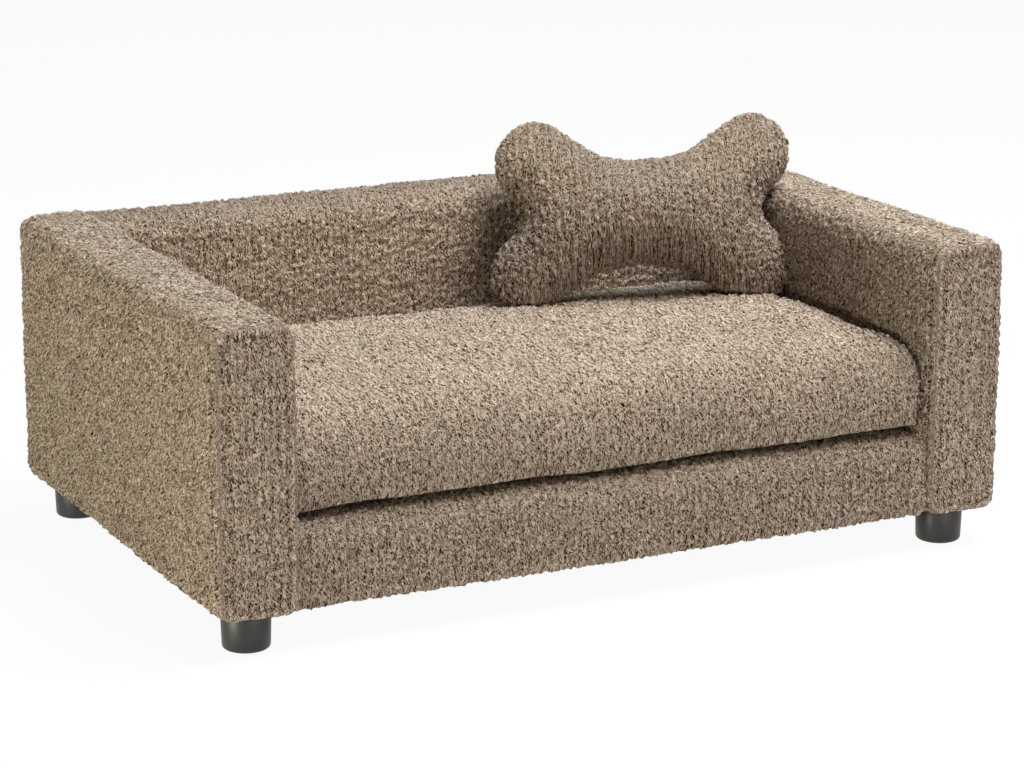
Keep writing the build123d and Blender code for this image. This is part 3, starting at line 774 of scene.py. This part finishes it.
# The top edge widens toward the arms and nearly fills the groove beside their rounded tops
top_edge = np.clip(co[:, 2] - (high.z - ARM_INNER_TOP_RADIUS), 0, ARM_INNER_TOP_RADIUS)
groove = ARM_INNER_TOP_RADIUS - np.sqrt(ARM_INNER_TOP_RADIUS**2 - top_edge**2)
toward_arm = np.clip((np.abs(co[:, 0]) - (high.x - GROOVE_REACH)) / GROOVE_REACH, 0, 1)
co[:, 0] += np.sign(co[:, 0]) * GROOVE_FILL * groove * toward_arm
set_coordinates(back, co)

# Painted light and shade: the top is painted darker, as if shaded, and the front face paler, as if lit more.
painted_shading = 1 - BACK_TOP_SHADE * toward(no, 2, 1) + BACK_FRONT_PAINTED_LIGHT * toward(no, 1, -1)
lay_cloth(back, co + BACK_CLOTH_SHIFT, co[:, 0], np.where(hidden, PRESSED_BACK, 1.0), fabric, 0.0, painted_shading)
dress(back, "sofa", "boucle_fabric", "back_cover")

# Front rail and deck of the base

RAIL_TOP_RADIUS = 20 * MM
RAIL_END_PRESS = 2 * MM
RAIL_BOTTOM_RADIUS = 9 * MM
RAIL_END_RADIUS = 3 * MM
DECK_RADIUS = 2 * MM
RAIL_CROWN = 1.2 * MM
BASE_UNEVEN_SIZE = 100 * MM
BASE_UNEVEN = 0.4 * MM
BASE_HEM = 12 * MM
BASE_SEEN_DEPTH = 40 * MM
BASE_PAINTED_SHADE = 0.775
BASE_CLOTH_SHIFT = 1100 * MM
low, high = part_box("base_cover")
section, directions = rounded_section(
    (low.y, low.z - HEM_DROP), (high.y, high.z),
    (RAIL_BOTTOM_RADIUS, DECK_RADIUS, DECK_RADIUS, RAIL_TOP_RADIUS),
)
base = bar(
    "base_upholstery", section, directions, low.x - RAIL_END_PRESS, high.x + RAIL_END_PRESS,
    RAIL_END_RADIUS, lambda a, b, along: (along, a, b),
)
remesh(base, FINE_VOXEL)
co, no = coordinates(base), normals(base)
crown = RAIL_CROWN * toward(no, 1, -1) * bulge(co[:, 2], low.z, high.z)
set_coordinates(base, co + no * crown[:, None])
uneven(base, BASE_UNEVEN_SIZE, BASE_UNEVEN, 17)
co, no = coordinates(base), normals(base)
underneath = (no[:, 2] < -FACING) & (co[:, 1] > low.y + BASE_HEM)
hidden = underneath | (co[:, 1] > low.y + BASE_SEEN_DEPTH) | (np.abs(no[:, 0]) > FACING)
amount = np.where(hidden, PRESSED_SEAT, 1.0)
# Painted shade: the rail and deck are painted darker all over than the same fabric elsewhere.
lay_cloth(base, co + BASE_CLOTH_SHIFT, co[:, 0], amount, fabric, 0.0, BASE_PAINTED_SHADE)
dress(base, "sofa", "boucle_fabric", "base_cover")

# Seat cushion

PILE_STRETCH = 0.55
CUSHION_SIDE_GAP = 1.0 * MM
CUSHION_SETBACK = 2.5 * MM
REAR_SAG = 9 * MM
LIP_SAG = 5 * MM
LIP_DEPTH = 30 * MM
SAG_FROM = -60 * MM
SAG_LENGTH = 200 * MM
CUSHION_VOXEL = 7 * MM
CUSHION_PRESSURE = 3.5
CUSHION_SWELL = 8 * MM
CUSHION_CORE_VOXEL = 6 * MM
CUSHION_WIDENING = 11 * MM
CUSHION_REAR_GAP = 0.5 * MM
CUSHION_UNDER_GAP = 0.3 * MM
CUSHION_UNEVEN_SIZE = 120 * MM
CUSHION_UNEVEN = 0.8 * MM
CUSHION_PAINTED_LIGHT = 1.06
CUSHION_FRONT_SHADE = 0.25
CUSHION_CLOTH_SHIFT = 1700 * MM
cushion = outer_surface("seat_cushion_cover", "seat_cushion_upholstery")
cushion_box = coordinates(cushion)
inflate(cushion, CUSHION_VOXEL, CUSHION_PRESSURE, CUSHION_SWELL)
smooth(cushion)

# Fitted into its place, lower at the rear and along the front's lower edge
outward = np.array((CUSHION_WIDENING, 0, 0))
low, high = cushion_box.min(0) - outward, cushion_box.max(0) + outward
co = spread(coordinates(cushion), low + (0, CUSHION_SETBACK, 0), high)
co[:, 0] = np.clip(co[:, 0], cushion_low.x + CUSHION_SIDE_GAP, cushion_high.x - CUSHION_SIDE_GAP)
co[:, 1] = np.minimum(co[:, 1], cushion_high.y - CUSHION_REAR_GAP)
co[:, 2] = np.maximum(co[:, 2], cushion_low.z + CUSHION_UNDER_GAP)
upper = np.clip((co[:, 2] - cushion_low.z) / (cushion_high.z - cushion_low.z), 0, 1)
toward_rear = np.clip((co[:, 1] - SAG_FROM) / SAG_LENGTH, 0, 1)
co[:, 2] -= REAR_SAG * upper * toward_rear**2 * (3 - 2 * toward_rear)
toward_front = np.clip(1 - (co[:, 1] - co[:, 1].min()) / LIP_DEPTH, 0, 1)
co[:, 2] -= LIP_SAG * (1 - upper) ** 2 * toward_front
set_coordinates(cushion, co)

remesh(cushion, FINE_VOXEL)
smooth(cushion)
core(cushion, "seat_cushion_padding", CUSHION_CORE_VOXEL, "seat_cushion", "foam", "seat_cushion_foam")
uneven(cushion, CUSHION_UNEVEN_SIZE, CUSHION_UNEVEN, 23)
co, no = coordinates(cushion), normals(cushion)
side_face = np.abs(no[:, 0]) > FACING
hidden = (no[:, 2] < -FACING) | side_face | (no[:, 1] > FACING)
# Painted light and shade: the cushion is painted paler all over and darker on its front face.
painted_shading = CUSHION_PAINTED_LIGHT - CUSHION_FRONT_SHADE * toward(no, 1, -1)
cloth = co * (1, PILE_STRETCH, 1) + CUSHION_CLOTH_SHIFT
rib = np.where(side_face, co[:, 1], co[:, 0])
lay_cloth(cushion, cloth, rib, np.where(hidden, PRESSED_SEAT, 1.0), fabric, 0.0, painted_shading)
dress(cushion, "seat_cushion", "boucle_fabric", "seat_cushion_cover")

# Bone pillow: two panels blown up between their seam, then pressed on the seat, the arm and the back

PILLOW_YAW, PILLOW_LEAN, PILLOW_ROLL = (math.radians(angle) for angle in (-24, -22, -2))
PILLOW_HALF_THICKNESS = 45 * MM
PILLOW_GRID = 2.5 * MM
PILLOW_PROFILE = 0.55
PILLOW_SOLVE_STEPS = 6000
PILLOW_CLEARANCE = 2.0 * MM
PILLOW_MIDDLE = np.array((197.0, 94.0, 284.4)) * MM
PILLOW_BOTTOM_WIDTH = 0.98
PILLOW_TOP_WIDTH = 0.95
PILLOW_TOP_SHIFT = 12 * MM
PILLOW_DROP = 4.5 * MM
PILLOW_VOXEL = 4 * MM
PILLOW_PRESSURE = 4.0
PILLOW_SWELL = 7 * MM
PILLOW_CORE_VOXEL = 5 * MM
PILLOW_OVER_SEAT = 30 * MM
PILLOW_PAINTED_SHADE = 0.78
PILLOW_CLOTH_SHIFT = 2300 * MM
RIM_WIDTH = 2.6 * MM
RIM_HEIGHT = 2.4 * MM
RIM_PRESSED = 0.4
RIM_FACING = 0.8
yaw = Matrix.Rotation(PILLOW_YAW, 3, "Z")
lean = Matrix.Rotation(PILLOW_LEAN, 3, "X")
turn = np.array(yaw @ lean @ Matrix.Rotation(PILLOW_ROLL, 3, "Y"))


def tree_of(obj):
    """A tree for ray casts against a mesh, in world coordinates."""
    faces = [tuple(face.vertices) for face in obj.data.polygons]
    return BVHTree.FromPolygons([tuple(point) for point in coordinates(obj)], faces)


def panel_grid(points, faces):
    """The outline of an upright shape on a grid, and how far its panels bulge: 0 at the seam, 1 at most."""
    shape = BVHTree.FromPolygons([tuple(point) for point in points], faces)
    low, high = points.min(0) - 2 * PILLOW_GRID, points.max(0) + 2 * PILLOW_GRID
    us = np.arange(low[0], high[0], PILLOW_GRID)
    vs = np.arange(low[2], high[2], PILLOW_GRID)
    inside = np.zeros((len(us), len(vs)), bool)
    for i, u in enumerate(us):
        for k, v in enumerate(vs):
            inside[i, k] = shape.ray_cast((u, low[1] - FAR_AWAY, v), (0, 1, 0))[0] is not None
    bulging = np.zeros(inside.shape)
    for _ in range(PILLOW_SOLVE_STEPS):
        around = bulging[:-2, 1:-1] + bulging[2:, 1:-1] + bulging[1:-1, :-2] + bulging[1:-1, 2:]
        bulging[1:-1, 1:-1] = np.where(inside[1:-1, 1:-1], (around + 1) / 4, 0)
    return us, vs, inside, (bulging / bulging.max()) ** PILLOW_PROFILE


def two_panels(name, us, vs, inside, bulging, half_thickness):
    """A closed mesh from two panels that meet at the outline."""
    number = np.full(inside.shape, -1)
    number[inside] = np.arange(inside.sum())
    count = int(inside.sum())
    grid_u, grid_v = np.meshgrid(us, vs, indexing="ij")
    depth = half_thickness * bulging[inside]
    front = np.column_stack((grid_u[inside], -depth, grid_v[inside]))
    rear = np.column_stack((grid_u[inside], depth, grid_v[inside]))
    faces, edges = [], {}
    for i in range(len(us) - 1):
        for k in range(len(vs) - 1):
            corners = [number[i, k], number[i + 1, k], number[i + 1, k + 1], number[i, k + 1]]
            if min(corners) < 0:
                continue
            corners = [int(c) for c in corners]
            faces.append(tuple(corners))
            faces.append(tuple(c + count for c in reversed(corners)))
            for first, second in zip(corners, corners[1:] + corners[:1]):
                if (second, first) in edges:
                    del edges[(second, first)]
                else:
                    edges[(first, second)] = True
    for first, second in edges:
        faces.append((second, first, first + count, second + count))
    return mesh_object(name, np.vstack((front, rear)), faces)


shell = outer_surface("pillow_cover", "pillow_outline")
flat = (coordinates(shell) - PILLOW_MIDDLE) @ turn
us, vs, inside, bulging = panel_grid(flat, [tuple(face.vertices) for face in shell.data.polygons])
bpy.data.objects.remove(shell)
pillow = two_panels("bone_pillow_upholstery", us, vs, inside, bulging, PILLOW_HALF_THICKNESS)
inflate(pillow, PILLOW_VOXEL, PILLOW_PRESSURE, PILLOW_SWELL)
reach = np.array((0, PILLOW_HALF_THICKNESS, 0))
local = spread(coordinates(pillow), flat.min(0) * (1, 0, 1) - reach, flat.max(0) * (1, 0, 1) + reach)
height = (local[:, 2] - local[:, 2].min()) / (local[:, 2].max() - local[:, 2].min())
local[:, 0] = local[:, 0] * (PILLOW_BOTTOM_WIDTH + (PILLOW_TOP_WIDTH - PILLOW_BOTTOM_WIDTH) * height)
local[:, 0] += PILLOW_TOP_SHIFT * height
local[:, 2] -= PILLOW_DROP
co = local @ turn.T + PILLOW_MIDDLE

# Kept clear of the seat, of the arm's inner face and of the back
seat = tree_of(cushion)
for i in np.nonzero(co[:, 2] < cushion_high.z + PILLOW_OVER_SEAT)[0]:
    hit = seat.ray_cast((co[i, 0], co[i, 1], FAR_AWAY), (0, 0, -1))[0]
    if hit is not None:
        co[i, 2] = max(co[i, 2], hit.z + PILLOW_CLEARANCE)
arm_low, arm_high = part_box("right_arm_cover")
above = np.clip(co[:, 2] - (arm_high.z - ARM_INNER_TOP_RADIUS), 0, ARM_INNER_TOP_RADIUS)
arm_face = arm_low.x + ARM_INNER_TOP_RADIUS - np.sqrt(ARM_INNER_TOP_RADIUS**2 - above**2)
arm_face[co[:, 2] > arm_high.z] = FAR_AWAY
co[:, 0] = np.minimum(co[:, 0], arm_face - PILLOW_CLEARANCE)
co[:, 1] = np.minimum(co[:, 1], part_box("back_cover")[0].y - 2 * PILLOW_CLEARANCE)
set_coordinates(pillow, co)

remesh(pillow, FINE_VOXEL)
smooth(pillow, times=4)
core(pillow, "bone_pillow_padding", PILLOW_CORE_VOXEL, "bone_pillow", "filling", "pillow_filling")

# The seam stands out as a rim round the outline
co, no = coordinates(pillow), normals(pillow)
local = (co - PILLOW_MIDDLE) @ turn
edge_on = np.clip(2 * (RIM_FACING - np.abs(no @ turn)[:, 1]), 0, 1)
rim = np.exp(-((local[:, 1] / RIM_WIDTH) ** 2)) * edge_on
set_coordinates(pillow, co + no * (RIM_HEIGHT * rim)[:, None])
cloth = local + PILLOW_CLOTH_SHIFT
# Painted shade: the pillow is painted darker all over than the same fabric elsewhere, and its rim, passed as
# the seam, is painted paler.
lay_cloth(pillow, cloth, local[:, 0], 1 - RIM_PRESSED * rim, fabric, rim, PILLOW_PAINTED_SHADE)
dress(pillow, "bone_pillow", "boucle_fabric", "pillow_cover")

# Legs: turned with a slight taper, both edges rounded

LEG_TOP_RADIUS = 22.9 * MM
LEG_BOTTOM_RADIUS = 21.8 * MM
LEG_EDGE = 4 * MM
LEG_EDGE_STEPS = 6
LEG_TOP_EDGE_HEIGHT = 0.8 * MM
LEG_TOP_EDGE_DEPTH = 0.6 * MM
LEG_SIDES = 96
SHARP_FROM = math.radians(50)


def make_leg(name, cad_node):
    low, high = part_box(cad_node)
    centre = (low + high) / 2
    profile = []
    for i in range(LEG_EDGE_STEPS + 1):
        a = math.pi / 2 * i / LEG_EDGE_STEPS
        profile.append((LEG_BOTTOM_RADIUS - LEG_EDGE + LEG_EDGE * math.sin(a), LEG_EDGE * (1 - math.cos(a))))
    profile.append((LEG_TOP_RADIUS, high.z - LEG_TOP_EDGE_HEIGHT))
    profile.append((LEG_TOP_RADIUS - LEG_TOP_EDGE_DEPTH, high.z))
    count = LEG_SIDES
    points, faces = [], []
    for radius, height in profile:
        for i in range(count):
            a = 2 * math.pi * i / count
            points.append((centre.x + radius * math.cos(a), centre.y + radius * math.sin(a), height))
    rings = len(profile)
    for ring in range(rings - 1):
        for i in range(count):
            j = (i + 1) % count
            faces.append((ring * count + i, ring * count + j, (ring + 1) * count + j, (ring + 1) * count + i))
    faces.append(tuple(reversed(range(count))))
    faces.append(tuple(range((rings - 1) * count, rings * count)))
    leg = mesh_object(name, points, faces)
    leg.data.shade_smooth()
    leg.data.set_sharp_from_angle(angle=SHARP_FROM)
    leg.data.materials.append(leg_plastic)
    dress(leg, "sofa", "leg_plastic", cad_node)


for end_name in ("front", "rear"):
    for side_name in ("left", "right"):
        make_leg(f"{end_name}_{side_name}_turned_leg", f"{end_name}_{side_name}_leg")

# Dust cover: non-woven sheet stapled under the frame, cut back round the legs

SHEET_HEIGHT = 33.6 * MM
SHEET_THICKNESS = 0.7 * MM
SHEET_GRID = 5 * MM
SHEET_SAG = 1.2 * MM
SHEET_DRAW_IN = 10 * MM
SHEET_WRINKLE = 0.35 * MM
STAPLE_PITCH = 62 * MM
STAPLE_INSET = 7 * MM
STAPLE_LENGTH = 10 * MM
STAPLE_WIDTH = 1.2 * MM
STAPLE_HALF_WIRE = STAPLE_WIDTH / 4
STAPLE_EDGE_LEFT = 0.01 * MM
STAPLE_SHARP_FROM = math.radians(40)
WRINKLE_REACH = 30 * MM
SAME_PLACE = 0.1 * MM


def cross_outline(cad_node):
    """Half lengths of the sheet, long and short along x, then along y, drawn in from the edges."""
    points = coordinates(frame["nodes"][cad_node])
    long_x, long_y = np.abs(points[:, 0]).max(), np.abs(points[:, 1]).max()
    short_x = np.abs(points[np.abs(points[:, 1]) > long_y - SAME_PLACE, 0]).max()
    short_y = np.abs(points[np.abs(points[:, 0]) > long_x - SAME_PLACE, 1]).max()
    return long_x - SHEET_DRAW_IN, short_x, long_y - SHEET_DRAW_IN, short_y


def grid_lines(half, stop):
    """Grid places from -half to half, with one at each stop."""
    middle = np.linspace(-stop, stop, 2 * round(stop / SHEET_GRID) + 1)
    outer = np.linspace(stop, half, max(2, round((half - stop) / SHEET_GRID) + 1))[1:]
    return np.concatenate((-outer[::-1], middle, outer))


def cross_sheet(name, long_x, short_x, long_y, short_y):
    """A stretched sheet, pulled up to its staples and a little slack between them."""
    xs, ys = grid_lines(long_x, short_x), grid_lines(long_y, short_y)
    kept = (np.abs(xs) < short_x + SAME_PLACE)[:, None] | (np.abs(ys) < short_y + SAME_PLACE)[None, :]
    number = np.full(kept.shape, -1)
    number[kept] = np.arange(kept.sum())
    grid_x, grid_y = np.meshgrid(xs, ys, indexing="ij")
    x, y = grid_x[kept], grid_y[kept]
    to_edge = np.minimum(long_x - np.abs(x), long_y - np.abs(y))
    slack = np.clip(to_edge / long_y, 0, 1)
    waves = np.cos(2 * math.pi * x / STAPLE_PITCH) * np.cos(2 * math.pi * y / STAPLE_PITCH)
    height = SHEET_HEIGHT - SHEET_SAG * np.sin(slack * math.pi / 2)
    height += SHEET_WRINKLE * waves * np.exp(-to_edge / WRINKLE_REACH)
    faces = []
    for i in range(len(xs) - 1):
        for k in range(len(ys) - 1):
            corners = [number[i, k], number[i, k + 1], number[i + 1, k + 1], number[i + 1, k]]
            if min(corners) >= 0:
                faces.append([int(corner) for corner in corners])
    sheet = mesh_object(name, np.column_stack((x, y, height)), faces)
    modifier = sheet.modifiers.new("thickness", "SOLIDIFY")
    modifier.thickness = SHEET_THICKNESS
    modifier.offset = 0
    settle(sheet)
    sheet.data.shade_smooth()
    sheet.data.set_sharp_from_angle(angle=SHARP_FROM)
    sheet.data.materials.append(slot_materials["dust_cloth"])
    return sheet


def staple_places(long_x, short_x, long_y, short_y):
    """Where the staples lie along the sheet's four long edges, and whether each lies along x."""
    places = []
    for side in (-1, 1):
        for half, edge, along_x in ((short_x, long_y, True), (short_y, long_x, False)):
            last = half - 2 * STAPLE_INSET
            for at in np.linspace(-last, last, round(2 * half / STAPLE_PITCH)):
                off = side * (edge - STAPLE_INSET)
                places.append((at, off, True) if along_x else (off, at, False))
    return places


arms_of_cross = cross_outline("dust_cover")
sheet = cross_sheet("dust_cover_sheet", *arms_of_cross)
staple_section, staple_directions = rounded_section(
    (-STAPLE_WIDTH / 2, -STAPLE_HALF_WIRE), (STAPLE_WIDTH / 2, STAPLE_HALF_WIRE),
    (STAPLE_HALF_WIRE - STAPLE_EDGE_LEFT,) * 4,
)
staple_under = SHEET_HEIGHT - SHEET_THICKNESS / 2 - STAPLE_HALF_WIRE
staple_points, staple_faces = [], []
for x, y, along_x in staple_places(*arms_of_cross):
    staple = bar(
        "staple", staple_section, staple_directions, -STAPLE_LENGTH / 2, STAPLE_LENGTH / 2, STAPLE_WIDTH / 5,
        lambda a, b, along: (x + along, y + a, b) if along_x else (x + a, y + along, b),
    )
    first = len(staple_points)
    staple_points += [(px, py, pz + staple_under) for px, py, pz in coordinates(staple)]
    staple_faces += [[first + vertex for vertex in face.vertices] for face in staple.data.polygons]
    bpy.data.objects.remove(staple)
staples = mesh_object("dust_cover_staples", staple_points, staple_faces)
staples.data.shade_smooth()
staples.data.set_sharp_from_angle(angle=STAPLE_SHARP_FROM)
staples.data.materials.append(slot_materials["zinc_steel"])
dress(staples, "sofa", "zinc_steel")
dress(sheet, "sofa", "dust_cloth", "dust_cover")

# Studio: pale floor, white surroundings, soft lamps and the camera

FLOOR_HALF = 6
PAPER = 0.86
SEEN_WHITE = 0.94
AMBIENT = 0.02
LAMP_AIM = (0, 0, 0.2)
FOCAL_LENGTH_IN_PIXELS = 3302.6
IMAGE_WIDTH = 1024
SENSOR_WIDTH = 36
CAMERA_AZIMUTH = math.radians(26.33)
CAMERA_ELEVATION = math.radians(14.73)
CAMERA_PLACE = (-1.37808, -2.80507, 0.96629)


def is_seen_ray(tree):
    """1 for rays that show the background: from the camera, by a reflection or through glass."""
    path = node(tree, "ShaderNodeLightPath")
    both = math_node(tree, "MAXIMUM", path.outputs["Is Camera Ray"], path.outputs["Is Glossy Ray"])
    return math_node(tree, "MAXIMUM", both, path.outputs["Is Transmission Ray"])


floor_corners = [(x * FLOOR_HALF, y * FLOOR_HALF, 0) for x, y in ((-1, -1), (1, -1), (1, 1), (-1, 1))]
floor = mesh_object("studio_floor", floor_corners, [(0, 1, 2, 3)])
floor_material = bpy.data.materials.new("floor_white")
floor_material.use_nodes = True
tree = floor_material.node_tree
tree.nodes.clear()
paper = node(tree, "ShaderNodeBsdfDiffuse", {"Color": (PAPER, PAPER, PAPER, 1)})
white = node(tree, "ShaderNodeEmission", {"Color": (1, 1, 1, 1), "Strength": 1.0})
seen = math_node(tree, "MULTIPLY", is_seen_ray(tree), SEEN_WHITE)
lit = node(tree, "ShaderNodeMixShader", {0: seen, 1: paper.outputs[0], 2: white.outputs[0]})
node(tree, "ShaderNodeOutputMaterial", {"Surface": lit.outputs[0]})
floor.data.materials.append(floor_material)

world = bpy.data.worlds.new("studio")
bpy.context.scene.world = world
world.use_nodes = True
tree = world.node_tree
tree.nodes.clear()
strength = map_range(tree, is_seen_ray(tree), 0.0, 1.0, AMBIENT, 1.0, False)
sky = node(tree, "ShaderNodeBackground", {"Color": (1, 1, 1, 1), "Strength": strength})
node(tree, "ShaderNodeOutputWorld", {"Surface": sky.outputs[0]})


def lamp(name, place, target, size, power, tint):
    data = bpy.data.lights.new(name, "AREA")
    data.shape = "RECTANGLE"
    data.size, data.size_y = size
    data.energy = power
    data.color = tint
    obj = bpy.data.objects.new(name, data)
    obj.location = place
    obj.rotation_euler = (Vector(target) - Vector(place)).to_track_quat("-Z", "Y").to_euler()
    bpy.context.scene.collection.objects.link(obj)


lamp("top_lamp", (1.0, 0.2, 2.6), LAMP_AIM, (2.4, 2.0), 60, (0.9, 1.01, 1.08))
lamp("front_top_lamp", (0.5, -0.8, 2.6), (0, 0.05, 0.25), (1.6, 1.2), 66, (1.0, 0.99, 0.98))
lamp("front_lamp", (0.6, -3.0, 1.0), LAMP_AIM, (2.4, 1.4), 25, (1.0, 0.94, 0.9))
lamp("left_lamp", (-2.6, -0.6, 0.28), LAMP_AIM, (1.4, 0.4), 37, (1.0, 0.98, 0.79))

forward = Vector((
    math.sin(CAMERA_AZIMUTH) * math.cos(CAMERA_ELEVATION),
    math.cos(CAMERA_AZIMUTH) * math.cos(CAMERA_ELEVATION),
    -math.sin(CAMERA_ELEVATION),
))
camera_data = bpy.data.cameras.new("camera")
camera_data.sensor_width = SENSOR_WIDTH
camera_data.lens = FOCAL_LENGTH_IN_PIXELS * SENSOR_WIDTH / IMAGE_WIDTH
camera_data.clip_end = 50
camera = bpy.data.objects.new("camera", camera_data)
camera.location = CAMERA_PLACE
camera.rotation_mode = "QUATERNION"
camera.rotation_quaternion = forward.to_track_quat("-Z", "Y")
bpy.context.scene.collection.objects.link(camera)
bpy.context.scene.camera = camera
bpy.context.scene.view_settings.view_transform = "Standard"
